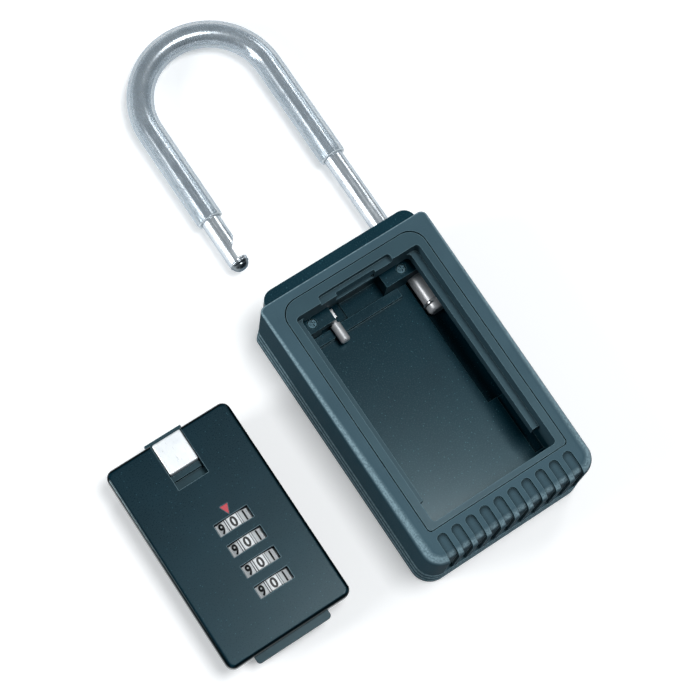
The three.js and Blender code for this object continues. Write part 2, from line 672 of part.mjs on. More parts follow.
const latchGroup = group(0, 0, 0,
  part('latch_plate', latchPlate(), paint.shell),
  part('release_button', releaseButton(), paint.button),
  screw('button_screw', 0, BUTTON_SCREW_Y,
    { headR: 1.9, head: [LATCH_Z0 + 0.1, LATCH_Z0 + 1.1], shankR: 1.05, tip: 18.3 }),
  group(-4.5, 15.7, 9.4, part('latch_spring', latchSpring(), paint.steel)),
  group(DIAL_X, 0, DIAL_Z,
    part('dial_spindle', dialSpindle(), paint.steel),
    ...CLIP_Y.map((y, i) =>
      group(0, y, 0, part(`spindle_clip_${i + 1}`, spindleClip(), paint.steel)))));

const lidGroup = group(LID_X, LID_Y, 0,
  part('lid_shell', lidShell(), paint.lid),
  part('lid_back_cover', lidCover(), paint.shell),
  part('hook_plate', hookPlate(), paint.shell),
  part('index_mark', slab(indexTriangle(0), [LID_T - 0.55, LID_T]), paint.red),
  part('detent_spring', detentSpring(), paint.brass),
  group(BALL.x, BALL.y, BALL.z,
    part('detent_ball', new THREE.SphereGeometry(BALL.r, 12, 8), paint.chrome)),
  ...coverScrews.map(([x, y], i) => screw(`cover_screw_${i + 1}`, x, y, coverScrew)),
  ...hookScrews.map(([x, y], i) => screw(`hook_screw_${i + 1}`, x, y, hookScrew)),
  ...Array.from({ length: DIALS }, (_, index) => dial(index)),
  latchGroup);

const keySafe = new THREE.Group();
keySafe.name = 'key_safe';
keySafe.add(caseGroup, shackleGroup, lockGroup, lidGroup);

export default keySafe;
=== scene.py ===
"""The looks of the portable key safe: finishes, moulded jacket, shackle, number wheels, light and camera."""
import math

import bmesh
import bpy
from mathutils import Matrix, Vector


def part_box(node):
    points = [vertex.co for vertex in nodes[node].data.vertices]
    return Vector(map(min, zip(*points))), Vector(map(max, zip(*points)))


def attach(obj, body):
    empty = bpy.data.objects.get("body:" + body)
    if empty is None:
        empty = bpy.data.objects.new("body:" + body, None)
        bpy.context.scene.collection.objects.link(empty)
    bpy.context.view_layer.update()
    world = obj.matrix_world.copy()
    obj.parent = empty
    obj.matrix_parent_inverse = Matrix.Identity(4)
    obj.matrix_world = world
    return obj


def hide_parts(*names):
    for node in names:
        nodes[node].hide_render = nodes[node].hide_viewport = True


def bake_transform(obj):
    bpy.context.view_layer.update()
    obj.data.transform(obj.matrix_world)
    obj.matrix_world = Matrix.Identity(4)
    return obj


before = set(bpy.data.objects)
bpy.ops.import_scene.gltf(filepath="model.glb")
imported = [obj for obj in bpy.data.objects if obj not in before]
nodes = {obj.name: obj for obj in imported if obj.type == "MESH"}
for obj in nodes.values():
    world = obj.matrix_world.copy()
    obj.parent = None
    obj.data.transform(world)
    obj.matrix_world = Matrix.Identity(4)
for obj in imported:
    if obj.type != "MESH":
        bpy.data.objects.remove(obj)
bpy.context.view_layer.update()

MM = 0.001

# ---- the frame's own places ----------------------------------------------------------------
JACKET_LO, JACKET_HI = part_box("bumper")
SHELL_LO, SHELL_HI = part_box("case_shell")
RIM_LO, RIM_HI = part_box("front_frame")
BAR_LO, BAR_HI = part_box("shackle")
TUBE_LO, TUBE_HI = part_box("shackle_sleeve")
LID_LO, LID_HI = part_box("lid_shell")
RING_LO, RING_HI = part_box("shackle_retaining_ring")

FACE_Z = JACKET_HI.z
BAR_R = (BAR_HI.z - BAR_LO.z) / 2
TUBE_R = (TUBE_HI.z - TUBE_LO.z) / 2
LEG_Z = (BAR_HI.z + BAR_LO.z) / 2
LEG_X = BAR_HI.x - BAR_R
BOW_Y = BAR_HI.y - LEG_X - BAR_R
LONG_END_Y = BAR_LO.y
RING_Y = (RING_LO.y + RING_HI.y) / 2
SHORT_TIP_Y = 79.4 * MM
SLEEVE_LONG_Y = TUBE_LO.y
SLEEVE_SHORT_Y = 102.8 * MM
NOTCH_FLAT_X = -27.3 * MM
NOTCH_Y = (83.6 * MM, 88.2 * MM)
NOTCH_SLOPE = 1.2


# ---- materials -----------------------------------------------------------------------------
def srgb(red, green, blue):
    """A display colour, 0 to 255, as the linear colour the shaders take."""
    def linear(value):
        value /= 255
        return value / 12.92 if value <= 0.04045 else ((value + 0.055) / 1.055) ** 2.4
    return (linear(red), linear(green), linear(blue), 1)


def grey(value):
    return (value, value, value, 1)


WHITE = grey(1)
BLACK = grey(0)


class Finish:
    """A node material on a Principled shader, with helpers for grain, variation and relief."""

    def __init__(self, name):
        self.material = bpy.data.materials.new(name)
        self.material.use_nodes = True
        self.tree = self.material.node_tree
        self.shader = self.tree.nodes["Principled BSDF"]
        self.place = self.tree.nodes.new("ShaderNodeTexCoord").outputs["Object"]
        self.bumps = None

    def set(self, **values):
        for key, value in values.items():
            self.shader.inputs[key.replace("_", " ")].default_value = value
        return self

    def node(self, kind, **values):
        made = self.tree.nodes.new(kind)
        for key, value in values.items():
            made.inputs[key].default_value = value
        return made

    def link(self, out, into):
        self.tree.links.new(out, into)

    def noise(self, size, detail=4.0, roughness=0.55, stretch=(1, 1, 1)):
        """Noise whose features are about size metres across."""
        mapping = self.node("ShaderNodeMapping", Scale=stretch)
        self.link(self.place, mapping.inputs["Vector"])
        made = self.node("ShaderNodeTexNoise", Scale=1 / size, Detail=detail, Roughness=roughness)
        self.link(mapping.outputs["Vector"], made.inputs["Vector"])
        return made.outputs["Fac"]

    def math(self, operation, first, second=None):
        made = self.tree.nodes.new("ShaderNodeMath")
        made.operation = operation
        self.link(first, made.inputs[0])
        if second is not None:
            self.link(second, made.inputs[1])
        return made.outputs[0]

    def ramp(self, value, *stops):
        made = self.tree.nodes.new("ShaderNodeValToRGB")
        elements = made.color_ramp.elements
        while len(elements) < len(stops):
            elements.new(0.5)
        for element, (position, color) in zip(elements, stops):
            element.position = position
            element.color = color
        self.link(value, made.inputs["Fac"])
        return made.outputs["Color"]

    def remap(self, value, from_low, from_high, low=0.0, high=1.0):
        span = {"From Min": from_low, "From Max": from_high, "To Min": low, "To Max": high}
        made = self.node("ShaderNodeMapRange", **span)
        self.link(value, made.inputs["Value"])
        return made.outputs["Result"]

    def spread(self, value, low, high):
        """Noise, which keeps near its middle, stretched between low and high."""
        return self.remap(value, 0.3, 0.7, low, high)

    def mix(self, factor, first, second):
        made = self.tree.nodes.new("ShaderNodeMix")
        made.data_type = "RGBA"
        if isinstance(factor, (int, float)):
            made.inputs[0].default_value = factor
        else:
            self.link(factor, made.inputs[0])
        for socket, color in ((made.inputs[6], first), (made.inputs[7], second)):
            if isinstance(color, tuple):
                socket.default_value = color
            else:
                self.link(color, socket)
        return made.outputs[2]

    def relief(self, value, depth, strength=1.0):
        made = self.node("ShaderNodeBump", Strength=strength, Distance=depth)
        self.link(value, made.inputs["Height"])
        if self.bumps is not None:
            self.link(self.bumps, made.inputs["Normal"])
        self.bumps = made.outputs["Normal"]
        self.link(self.bumps, self.shader.inputs["Normal"])
        return self

    def color(self, value):
        self.link(value, self.shader.inputs["Base Color"])
        return self

    def rough(self, value):
        self.link(value, self.shader.inputs["Roughness"])
        return self

    def edges(self, color, wear_and_highlight, width=0.35 * MM):
        """Lighter along the edges, where a rounded normal leaves the surface's own: partly wear, partly a
        painted highlight.
        """
        rounded = self.node("ShaderNodeBevel", Radius=width)
        rounded.samples = 4
        own = self.tree.nodes.new("ShaderNodeNewGeometry").outputs["Normal"]
        turn = self.tree.nodes.new("ShaderNodeVectorMath")
        turn.operation = "DOT_PRODUCT"
        self.link(rounded.outputs["Normal"], turn.inputs[0])
        self.link(own, turn.inputs[1])
        mask = self.ramp(turn.outputs["Value"], (0.80, WHITE), (0.985, BLACK))
        return self.mix(mask, color, wear_and_highlight)

    def rim(self, margin_x, margin_y):
        """A mask of the outer margin of the piece, as shares of its width and length."""
        axes = self.tree.nodes.new("ShaderNodeSeparateXYZ")
        self.link(self.tree.nodes.new("ShaderNodeTexCoord").outputs["Generated"], axes.inputs["Vector"])
        parts = []
        for axis, margin in (("X", margin_x), ("Y", margin_y)):
            off = self.math("ABSOLUTE", self.remap(axes.outputs[axis], 0.0, 1.0, -0.5, 0.5))
            parts.append(self.remap(off, 0.5 - margin, 0.5 - margin * 0.7))
        return self.math("MAXIMUM", *parts)

    def facing_up(self):
        axes = self.tree.nodes.new("ShaderNodeSeparateXYZ")
        self.link(self.tree.nodes.new("ShaderNodeTexCoord").outputs["Normal"], axes.inputs["Vector"])
        return axes.outputs["Z"]

    def upright(self):
        """A mask of the walls."""
        return self.ramp(self.facing_up(), (0.12, WHITE), (0.55, BLACK))

    def sloped(self, grain):
        """A grainy mask of the surfaces that lean between level and upright, which carries a painted
        highlight.
        """
        lean = self.ramp(self.facing_up(), (0.40, BLACK), (0.62, WHITE), (0.84, WHITE), (0.98, BLACK))
        return self.math("MULTIPLY", lean, self.ramp(grain, (0.38, grey(0.35)), (0.62, WHITE)))

    def crevices(self, color, dark, reach=1.6 * MM):
        """Painted shade: darker in the corners and slots of the piece itself."""
        shade = self.node("ShaderNodeAmbientOcclusion", Distance=reach)
        shade.samples = 6
        shade.only_local = True
        mask = self.ramp(shade.outputs["AO"], (0.45, WHITE), (0.88, BLACK))
        return self.mix(mask, color, dark)

    def specks(self, size, amount):
        """A mask of small separate dots."""
        cells = self.node("ShaderNodeTexVoronoi", Scale=1 / size)
        self.link(self.place, cells.inputs["Vector"])
        return self.ramp(cells.outputs["Distance"], (amount, WHITE), (amount + 0.06, BLACK))


TEAL_SHEEN = (0.62, 0.90, 1.0, 1)
EDGE_TINT = (0.30, 0.36, 0.41, 1)
ROLL_W = 1.3 * MM
LID_ROLL = (ROLL_W / (LID_HI.x - LID_LO.x), ROLL_W / (LID_HI.y - LID_LO.y))


def moulded_rubber():
    made = Finish("jacket_moulded").set(Specular_IOR_Level=0.1, Specular_Tint=TEAL_SHEEN)
    broad = made.noise(14 * MM, 3)
    fine = made.noise(0.5 * MM, 6, 0.75)
    base = made.ramp(broad, (0.3, srgb(57, 80, 91)), (0.7, srgb(64, 88, 99)))
    base = made.mix(made.spread(fine, 0.0, 0.35), base, srgb(78, 104, 115))
    # Painted highlight: a grainy lighter colour on the leaning front rounds.
    base = made.mix(made.sloped(made.noise(0.8 * MM, 3, 0.7)), base, srgb(132, 158, 168))
    # Painted shade: the walls darker than the front.
    base = made.mix(made.upright(), base, srgb(8, 43, 54))
    # Painted shade in the jacket's own corners and slots.
    base = made.crevices(base, srgb(4, 16, 21), 2.2 * MM)
    # Edges lighter: partly wear, partly a painted highlight.
    made.color(made.edges(base, srgb(104, 134, 144)))
    made.rough(made.mix(made.upright(), made.spread(fine, 0.36, 0.54), grey(0.85)))
    return made.relief(fine, 0.055 * MM, 1.0).relief(broad, 0.04 * MM, 0.3).material


def coated_metal(name, low, high, rough, wear_and_highlight, coat=0.03, speck=None, grain=0.5, depth=0.02,
                 rolled_edge_shade=None, gloss=0.3, edge=0.35 * MM):
    """Paint on metal: edges lighter, partly wear and partly painted highlight; corners darker as painted
    shade; specks where given; and where given, a rolled edge painted near black as shade, and glossier.
    """
    made = Finish(name).set(Coat_Weight=coat, Coat_Roughness=0.12)
    made.set(Specular_IOR_Level=gloss, Specular_Tint=TEAL_SHEEN)
    broad = made.noise(18 * MM, 3)
    fine = made.noise(grain * MM, 5, 0.65)
    base = made.ramp(broad, (0.3, low), (0.7, high))
    base = made.mix(made.spread(fine, 0.0, 0.25), base, high)
    if speck:
        base = made.mix(made.specks(1.7 * MM, 0.07), base, speck)
    if rolled_edge_shade:
        # Painted shade: the rolled edge near black.
        base = made.mix(made.rim(*LID_ROLL), base, rolled_edge_shade)
    # Painted shade in the paint's own corners and slots.
    base = made.crevices(base, tuple(0.3 * value for value in low[:3]) + (1,))
    # Edges lighter: partly wear, partly a painted highlight.
    made.color(made.edges(base, wear_and_highlight, edge))
    dull = made.mix(made.upright(), made.spread(fine, rough - 0.06, rough + 0.08), grey(0.6))
    made.rough(made.mix(made.rim(*LID_ROLL), dull, grey(0.08)) if rolled_edge_shade else dull)
    return made.relief(fine, depth * MM, 0.6).relief(broad, 0.06 * MM, 0.25).material


def bright_metal(name, low, high, rough, stretch=(1, 1, 1), grain=0.4, depth=0.004, metallic=1.0):
    made = Finish(name).set(Metallic=metallic, Specular_Tint=EDGE_TINT)
    streak = made.noise(grain * MM, 5, 0.6, stretch)
    cloud = made.noise(6 * MM, 3)
    base = made.ramp(cloud, (0.35, low), (0.65, high))
    made.color(made.mix(made.spread(streak, 0, 0.4), base, high))
    made.rough(made.spread(streak, rough - 0.04, rough + 0.10))
    return made.relief(streak, depth * MM, 0.5).material


def clear_vinyl():
    """Clear tube: thin where it faces the eye and dense at its edges."""
    made = Finish("vinyl_clear").set(Specular_IOR_Level=0.35, Metallic=0.35)
    made.set(Specular_Tint=(0.7, 0.78, 0.84, 1))
    cloud = made.noise(9 * MM, 4)
    haze = made.noise(0.8 * MM, 5, 0.6, (1, 0.2, 1))
    made.color(made.ramp(cloud, (0.3, (0.40, 0.48, 0.54, 1)), (0.7, (0.54, 0.62, 0.68, 1))))
    made.rough(made.spread(haze, 0.10, 0.24))
    facing = made.node("ShaderNodeLayerWeight", Blend=0.4).outputs["Facing"]
    made.link(made.remap(facing, 0.05, 0.8, 0.16, 0.84), made.shader.inputs["Alpha"])
    return made.relief(cloud, 0.10 * MM, 0.4).material


def printed(name, low, high, rough):
    made = Finish(name).set(Specular_IOR_Level=0.4)
    fine = made.noise(0.3 * MM, 4)
    made.color(made.ramp(fine, (0.3, low), (0.7, high)))
    made.rough(made.spread(fine, rough - 0.05, rough + 0.08))
    return made.relief(fine, 0.01 * MM, 0.4).material


jacket_finish = moulded_rubber()
frame_finish = coated_metal("frame_coat", srgb(41, 64, 74), srgb(48, 72, 82), 0.42, srgb(108, 138, 148),
                            grain=0.35)
shell_finish = coated_metal("shell_coat", srgb(0, 36, 48), srgb(3, 44, 56), 0.24, srgb(92, 130, 140),
                            coat=0.08, speck=srgb(54, 98, 110), depth=0.012, gloss=0.28)
lid_finish = coated_metal("lid_coat", srgb(1, 28, 38), srgb(5, 35, 46), 0.29, srgb(118, 144, 153),
                          speck=srgb(40, 76, 88), rolled_edge_shade=srgb(0, 6, 9), gloss=0.2, edge=0.5 * MM)
inner_finish = coated_metal("inner_coat", srgb(24, 48, 57), srgb(32, 57, 66), 0.42, srgb(100, 128, 138),
                            grain=0.4)
chrome_finish = bright_metal("bar_chrome", (0.50, 0.55, 0.60, 1), (0.70, 0.75, 0.79, 1), 0.22,
                             stretch=(1, 0.06, 1), grain=0.6, depth=0.01, metallic=0.78)
pin_finish = bright_metal("pin_steel", (0.62, 0.64, 0.66, 1), (0.80, 0.81, 0.83, 1), 0.34,
                          stretch=(1, 0.2, 1), metallic=0.5)
steel_finish = bright_metal("steel_bright", (0.42, 0.44, 0.46, 1), (0.60, 0.62, 0.64, 1), 0.27)
screw_finish = bright_metal("screw_zinc", (0.10, 0.14, 0.17, 1), (0.18, 0.23, 0.27, 1), 0.36)
dark_steel_finish = bright_metal("tip_steel", (0.16, 0.19, 0.21, 1), (0.34, 0.37, 0.39, 1), 0.24,
                                 stretch=(1, 3, 1), grain=0.5, depth=0.01)
dark_screw_finish = bright_metal("screw_dark", (0.035, 0.075, 0.095, 1), (0.07, 0.12, 0.145, 1), 0.32)
button_finish = bright_metal("button_satin", (0.72, 0.76, 0.79, 1), (0.82, 0.85, 0.87, 1), 0.30,
                             stretch=(1, 0.15, 1), depth=0.002, metallic=0.35)
brass_finish = bright_metal("brass_turned", (0.52, 0.37, 0.14, 1), (0.70, 0.52, 0.24, 1), 0.30)
vinyl_finish = clear_vinyl()
vinyl_end_finish = printed("vinyl_cut", (0.62, 0.70, 0.75, 1), (0.74, 0.81, 0.85, 1), 0.3)
wheel_finish = printed("wheel_silver", srgb(206, 211, 214), srgb(228, 232, 234), 0.36)
digit_finish = printed("digit_black", srgb(10, 14, 17), srgb(20, 25, 29), 0.45)
red_finish = printed("index_red", srgb(176, 48, 62), srgb(206, 70, 82), 0.42)


# ---- mesh building -------------------------------------------------------------------------
def object_of(name, bm, *finishes):
    """Turns a bmesh into an object with its normals outward and smooth shading."""
    bmesh.ops.remove_doubles(bm, verts=bm.verts, dist=1e-7)
    bmesh.ops.recalc_face_normals(bm, faces=bm.faces)
    mesh = bpy.data.meshes.new(name)
    bm.to_mesh(mesh)
    bm.free()
    made = bpy.data.objects.new(name, mesh)
    bpy.context.scene.collection.objects.link(made)
    for finish in finishes:
        mesh.materials.append(finish)
    for face in mesh.polygons:
        face.use_smooth = True
    return made


def bridge(bm, rings, closed=False):
    """Joins rings of points, each with the same count, into a skin; an open run gets end faces."""
    rows = [[bm.verts.new(point) for point in ring] for ring in rings]
    count = len(rows[0])
    pairs = list(zip(rows, rows[1:]))
    if closed:
        pairs.append((rows[-1], rows[0]))
    for first, second in pairs:
        for i in range(count):
            j = (i + 1) % count
            bm.faces.new((first[i], first[j], second[j], second[i]))
    if not closed:
        bm.faces.new(list(reversed(rows[0])))
        bm.faces.new(rows[-1])


def rounded_outline(x0, x1, y0, y1, top, bottom, steps=10):
    """Points round a rectangle whose upper and lower corners have their own rounds."""
    corners = ((x1 - bottom, y0 + bottom, bottom, -90), (x1 - top, y1 - top, top, 0),
               (x0 + top, y1 - top, top, 90), (x0 + bottom, y0 + bottom, bottom, 180))
    points = []
    for cx, cy, radius, start in corners:
        for k in range(steps + 1):
            angle = math.radians(start + 90 * k / steps)
            points.append((cx + radius * math.cos(angle), cy + radius * math.sin(angle)))
    return points


def prism(bm, outline, z0, z1):
    """An outline in x and y, drawn out between two heights."""
    bridge(bm, [[(x, y, z) for x, y in outline] for z in (z0, z1)])


def apply_modifiers(piece):
    graph = bpy.context.evaluated_depsgraph_get()
    mesh = bpy.data.meshes.new_from_object(piece.evaluated_get(graph))
    piece.modifiers.clear()
    piece.data = mesh


def carve(piece, *cutters):
    """Cuts each cutter out of the piece and removes the cutter."""
    for cutter in cutters:
        step = piece.modifiers.new("carve", "BOOLEAN")
        step.operation = "DIFFERENCE"
        step.solver = "EXACT"
        step.object = cutter
        apply_modifiers(piece)
        bpy.data.objects.remove(cutter)


def soften(piece, width, segments=2, angle=32):
    """Rounds the sharp edges and keeps the flats flat."""
    bevel = piece.modifiers.new("soften", "BEVEL")
    bevel.width = width
    bevel.segments = segments
    bevel.limit_method = "ANGLE"
    bevel.angle_limit = math.radians(angle)
    bevel.use_clamp_overlap = True
    bevel.miter_outer = "MITER_ARC"
    weighted = piece.modifiers.new("flats", "WEIGHTED_NORMAL")
    weighted.keep_sharp = True
    weighted.weight = 80


def keep(name, finish, width=0.2 * MM, segments=2, merge=True):
    """A CAD node that stays, with its edges rounded and its own finish."""
    node = nodes[name]
    node.data.materials.clear()
    node.data.materials.append(finish)
    for face in node.data.polygons:
        face.use_smooth = True
        face.material_index = 0
    weld = node.modifiers.new("weld", "WELD")
    weld.merge_threshold = 0.004 * MM
    if merge:
        flat = node.modifiers.new("flat", "DECIMATE")
        flat.decimate_type = "DISSOLVE"
        flat.angle_limit = math.radians(0.6)
    soften(node, width, segments)


# ---- jacket --------------------------------------------------------------------------------
WALL_INSET = 0.4 * MM
FILLET = 4.6 * MM
RIDGE_STEP = 4.2 * MM
RIDGE_COUNT = 3
GROOVE_W = 1.5 * MM
GROOVE_DEPTH = 1.5 * MM
SLOT_COUNT = 10
SLOT_PITCH = 6.2 * MM
SLOT_HALF = 2.05 * MM
SLOT_TOP_Y = JACKET_LO.y + 11 * MM
SLOT_DEPTH = 1.25 * MM
LEDGE_Z = 13.6 * MM
SINK_H = 3.2 * MM
SINK_DEPTH = 2.6 * MM
TOP_ROUND = 0.22
TOP_ROUND_START, TOP_ROUND_RUN = 1.5 * MM, 7 * MM
TOP_CORNER, LOW_CORNER = 3 * MM, 8 * MM
TOP_CORNER_LEAST, LOW_CORNER_LEAST = 1.2 * MM, 1 * MM
RIDGE_FADE_Y = JACKET_LO.y + 9 * MM
RIDGE_FADE_X, RIDGE_FADE_RUN = 26 * MM, 5.5 * MM
ARC_STEPS = 10
FREE = 5 * MM
POCKET_GAP, POCKET_CORNER = 0.15 * MM, 5 * MM
POCKET_TOP = FACE_Z - 2.8 * MM
POCKET_RUN = 20 * MM
MOUTH_GAP = 0.4 * MM
MOUTH_LIP = 1.9 * MM
MOUTH_DEPTH = 6 * MM
MOUTH_TOP_CORNER, MOUTH_LOW_CORNER = 7 * MM, 1.8 * MM
SLOT_END_ROUND, SQUARE = 1.9 * MM, 0.01 * MM


def quarter(k):
    """The angle of a step over a quarter turn."""
    return math.radians(90 / ARC_STEPS * k)


def eased(t):
    """0 to 1 with a level start and finish."""
    t = min(1, max(0, t))
    return t * t * (3 - 2 * t)


def jacket_profile():
    """Inset, height and share of groove, from the back edge to the front face."""
    rows = [(0.9 * MM, 0, 0), (0.3 * MM, 0.25 * MM, 0), (0, 0.9 * MM, 0)]
    for k in range(RIDGE_COUNT):
        z = (k + 1) * RIDGE_STEP
        inset = WALL_INSET * k / RIDGE_COUNT
        rows += [(inset, z - GROOVE_W, 0), (inset, z - GROOVE_W * 0.6, 0.55),
                 (inset, z - GROOVE_W * 0.3, 1), (inset, z, 1),
                 (inset + 0.05 * MM, z + GROOVE_W * 0.3, 0.5), (inset + 0.08 * MM, z + GROOVE_W * 0.6, 0)]
    return rows


def round_share(y):
    """The front edge has a wide round, except along the shackle end."""
    return TOP_ROUND + (1 - TOP_ROUND) * eased((JACKET_HI.y - y - TOP_ROUND_START) / TOP_ROUND_RUN)


def jacket_outline(inset):
    """Points round the jacket, drawn in by the inset, with tighter corners as it shrinks."""
    return rounded_outline(JACKET_LO.x + inset, JACKET_HI.x - inset, JACKET_LO.y + inset, JACKET_HI.y - inset,
                           max(TOP_CORNER - inset * 0.5, TOP_CORNER_LEAST),
                           max(LOW_CORNER - inset, LOW_CORNER_LEAST), 14)


def front_round():
    """Rings over the front edge, each between the wall and a fully inset outline."""
    outer, inner = jacket_outline(WALL_INSET), jacket_outline(WALL_INSET + FILLET)
    rings = []
    for k in range(ARC_STEPS + 1):
        across, up = 1 - math.cos(quarter(k)), 1 - math.sin(quarter(k))
        ring = []
        for (x0, y0), (x1, y1) in zip(outer, inner):
            share = round_share(y0)
            ring.append((x0 + (x1 - x0) * across * share, y0 + (y1 - y0) * across * share,
                         FACE_Z - FILLET * share * up))
        rings.append(ring)
    return rings


def ridge_share(x, y):
    """Ridges run down the sides and round the lower corners, then fade out."""
    return 1 if y > RIDGE_FADE_Y else eased((abs(x) - RIDGE_FADE_X) / RIDGE_FADE_RUN)


def slot_section():
    """Upright section of what a grip slot takes off the lower wall: over the round and down to its ledge."""
    wall_y = JACKET_LO.y + WALL_INSET
    centre_y, centre_z = wall_y + FILLET, FACE_Z - FILLET
    inner = FILLET - SLOT_DEPTH
    arc = [(centre_y - inner * math.sin(quarter(k)), centre_z + inner * math.cos(quarter(k)))
           for k in range(ARC_STEPS + 1)]
    return [(centre_y + 0.5 * MM, FACE_Z - SLOT_DEPTH), *arc, (wall_y + SLOT_DEPTH, LEDGE_Z + SINK_H),
            (wall_y + SINK_DEPTH, LEDGE_Z + SINK_H), (wall_y + SINK_DEPTH, LEDGE_Z),
            (wall_y - FREE, LEDGE_Z), (wall_y - FREE, FACE_Z + FREE), (centre_y + 0.5 * MM, FACE_Z + FREE)]


def jacket():
    """The weather jacket: ridged walls and rounded front, with the case's pocket and the slots cut out."""
    rings = []
    for inset, z, groove in jacket_profile():
        ring = []
        for x, y in jacket_outline(inset):
            deep = GROOVE_DEPTH * groove * ridge_share(x, y)
            shrink_x = 1 - deep / JACKET_HI.x
            shrink_y = 1 - deep / -JACKET_LO.y
            ring.append((x * shrink_x, y * shrink_y if y < 0 else y, z))
        rings.append(ring)
    bm = bmesh.new()
    bridge(bm, rings + front_round())
    body = object_of("weather_jacket", bm, jacket_finish)

    pocket, mouth, tops, runs = (bmesh.new() for _ in range(4))
    prism(pocket, rounded_outline(SHELL_LO.x - POCKET_GAP, SHELL_HI.x + POCKET_GAP, SHELL_LO.y - POCKET_GAP,
                                  SHELL_HI.y + POCKET_RUN, POCKET_CORNER, POCKET_CORNER), -FREE, POCKET_TOP)
    prism(mouth, rounded_outline(RIM_LO.x - MOUTH_GAP, RIM_HI.x + MOUTH_GAP,
                                 RIM_LO.y + MOUTH_LIP - MOUTH_GAP, RIM_HI.y + MOUTH_GAP,
                                 MOUTH_TOP_CORNER, MOUTH_LOW_CORNER), FACE_Z - MOUTH_DEPTH, FACE_Z + FREE)
    section = slot_section()
    round_y = JACKET_LO.y + WALL_INSET + FILLET
    for k in range(SLOT_COUNT):
        x = (k - (SLOT_COUNT - 1) / 2) * SLOT_PITCH
        x0, x1 = x - SLOT_HALF, x + SLOT_HALF
        prism(tops, rounded_outline(x0, x1, round_y, SLOT_TOP_Y, SLOT_END_ROUND, SQUARE, 8),
              FACE_Z - SLOT_DEPTH, FACE_Z + FREE)
        bridge(runs, [[(side, y, z) for y, z in section] for side in (x0, x1)])
    carve(body, object_of("pocket", pocket), object_of("mouth", mouth),
          object_of("runs", runs), object_of("tops", tops))
    soften(body, 0.26 * MM, 3, 30)
    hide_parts("bumper")
    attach(body, "case")


# ---- shackle -------------------------------------------------------------------------------
SIDES = 48
BOW_STEPS = 56
LEG_STEPS = 10
RING_GROOVE_R = 3.3 * MM
RING_GROOVE_HALF = 0.6 * MM
GROOVE_CHAMFER = 0.15 * MM
PLAIN_BAR_GAP = 4 * MM
# Below this height the bar, down in the case's cavity, is painted lighter as light.
PAINTED_LIGHT_LEG_END_Y = 40 * MM
TIP_STEEL_H = 2.8 * MM
NOTCH_REACH = 7 * MM
# Millimetres above the end of each leg, and how far the bar is cut back there.
LONG_END = ((0, 1.1), (0.5, 0.45), (1.2, 0))
SHORT_TIP = ((3.5, 0), (3.3, 0.3), (2.9, 0.3), (2.7, 0.05), (2.1, 0.35), (1.9, 0.65), (1.6, 0.7), (1.4, 0.75),
             (0.7, 1.3), (0.15, 1.9), (0, 2.4))
LIP = 0.5 * MM
# Shares of the lip: how far in along the tube, and how far the outside is drawn in.
LIP_ROUND = ((0, 0.9), (0.12, 0.4), (0.5, 0.08), (1, 0))
TUBE_GAP = 0.12 * MM


def hairpin(long_y, short_y):
    """Stations (centre, outward direction) up the long leg, round the bow and down the short leg."""
    stations = [(Vector((LEG_X, long_y + (BOW_Y - long_y) * k / LEG_STEPS, LEG_Z)), Vector((1, 0, 0)))
                for k in range(LEG_STEPS)]
    for k in range(BOW_STEPS + 1):
        angle = math.pi * k / BOW_STEPS
        out = Vector((math.cos(angle), math.sin(angle), 0))
        stations.append((Vector((0, BOW_Y, LEG_Z)) + out * LEG_X, out))
    stations += [(Vector((-LEG_X, BOW_Y + (short_y - BOW_Y) * k / LEG_STEPS, LEG_Z)), Vector((-1, 0, 0)))
                 for k in range(1, LEG_STEPS + 1)]
    return stations


def ring_at(centre, out, radius, up=Vector((0, 0, 1)), sides=SIDES):
    """A circle of points round a centre, in the plane of its outward and upward directions."""
    turns = [2 * math.pi * k / sides for k in range(sides)]
    return [centre + radius * (math.cos(t) * out + math.sin(t) * up) for t in turns]


def leg_rings(side, rows):
    """Rings across one leg, from pairs of height and radius."""
    return [ring_at(Vector((side * LEG_X, y, LEG_Z)), Vector((side, 0, 0)), radius) for y, radius in rows]


def shackle_bar():
    """The bent bar, with its ring groove at the long end and its shaped tip and notch at the short one."""
    end = [(LONG_END_Y + rise * MM, BAR_R - cut * MM) for rise, cut in LONG_END]
    groove = ((RING_GROOVE_HALF + GROOVE_CHAMFER, BAR_R), (RING_GROOVE_HALF, BAR_R - GROOVE_CHAMFER),
              (RING_GROOVE_HALF, RING_GROOVE_R))
    end += [(RING_Y - off, radius) for off, radius in groove]
    end += [(RING_Y + off, radius) for off, radius in reversed(groove)]
    tip = [(SHORT_TIP_Y + rise * MM, BAR_R - cut * MM) for rise, cut in SHORT_TIP]
    stations = hairpin(RING_Y + PLAIN_BAR_GAP, SHORT_TIP_Y + PLAIN_BAR_GAP)
    body = [ring_at(centre, out, BAR_R) for centre, out in stations]
    bm = bmesh.new()
    bridge(bm, leg_rings(1, end) + body + leg_rings(-1, tip))
    bar = object_of("shackle_bar", bm, chrome_finish)
    low, high = NOTCH_Y
    bite = bmesh.new()
    outline = [(NOTCH_FLAT_X, low), (NOTCH_FLAT_X + NOTCH_REACH, low),
               (NOTCH_FLAT_X + NOTCH_REACH, high + NOTCH_REACH * NOTCH_SLOPE), (NOTCH_FLAT_X, high)]
    prism(bite, outline, LEG_Z - 2 * BAR_R, LEG_Z + 2 * BAR_R)
    carve(bar, object_of("bite", bite))
    tip_index = len(bar.data.materials)
    bar.data.materials.append(dark_steel_finish)
    bar.data.materials.append(pin_finish)
    # Painted light: the long leg down in the case's cavity takes the brighter, less metallic pin finish
    # instead of the chrome.
    for face in bar.data.polygons:
        if face.center.x < 0 and face.center.y < SHORT_TIP_Y + TIP_STEEL_H:
            face.material_index = tip_index
        elif face.center.y < PAINTED_LIGHT_LEG_END_Y:
            face.material_index = tip_index + 1
    soften(bar, 0.22 * MM, 2, 40)
    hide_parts("shackle")
    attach(bar, "shackle")


